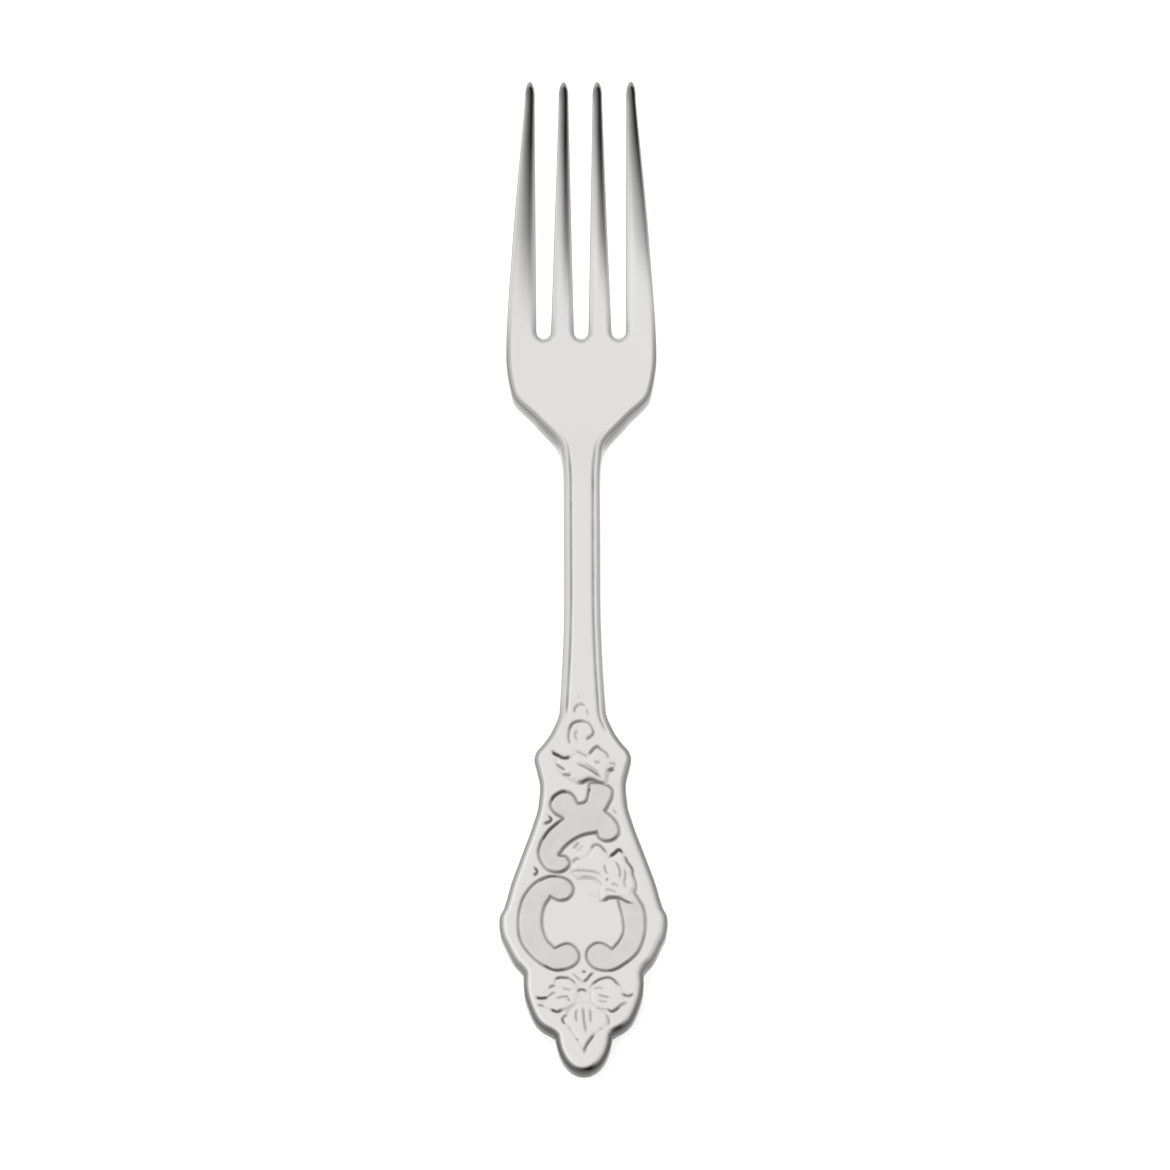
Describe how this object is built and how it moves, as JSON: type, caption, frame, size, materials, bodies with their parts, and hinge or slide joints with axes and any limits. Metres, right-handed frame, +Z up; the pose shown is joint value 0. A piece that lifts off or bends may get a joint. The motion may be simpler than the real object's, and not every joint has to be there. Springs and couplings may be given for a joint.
{
  "type": "dessert fork",
  "caption": "Silver dessert fork with slim round-tipped tines, a shallow bowl, a threaded stem and a wide lobed handle struck with low scrolls, leaves and a flower.",
  "frame": {"origin": "middle of the fork's bounding box, on the surface that it lies on", "axes": "+Y from the end of the handle towards the tips of the tines, +X across the fork, +Z up out of the face"},
  "size_m": [0.0284, 0.179, 0.0145],
  "materials": {
    "silver": "polished silver with fine use marks and darker recesses"
  },
  "bodies": {
    "root": {"dessert_fork": "silver"}
  },
  "joints": []
}
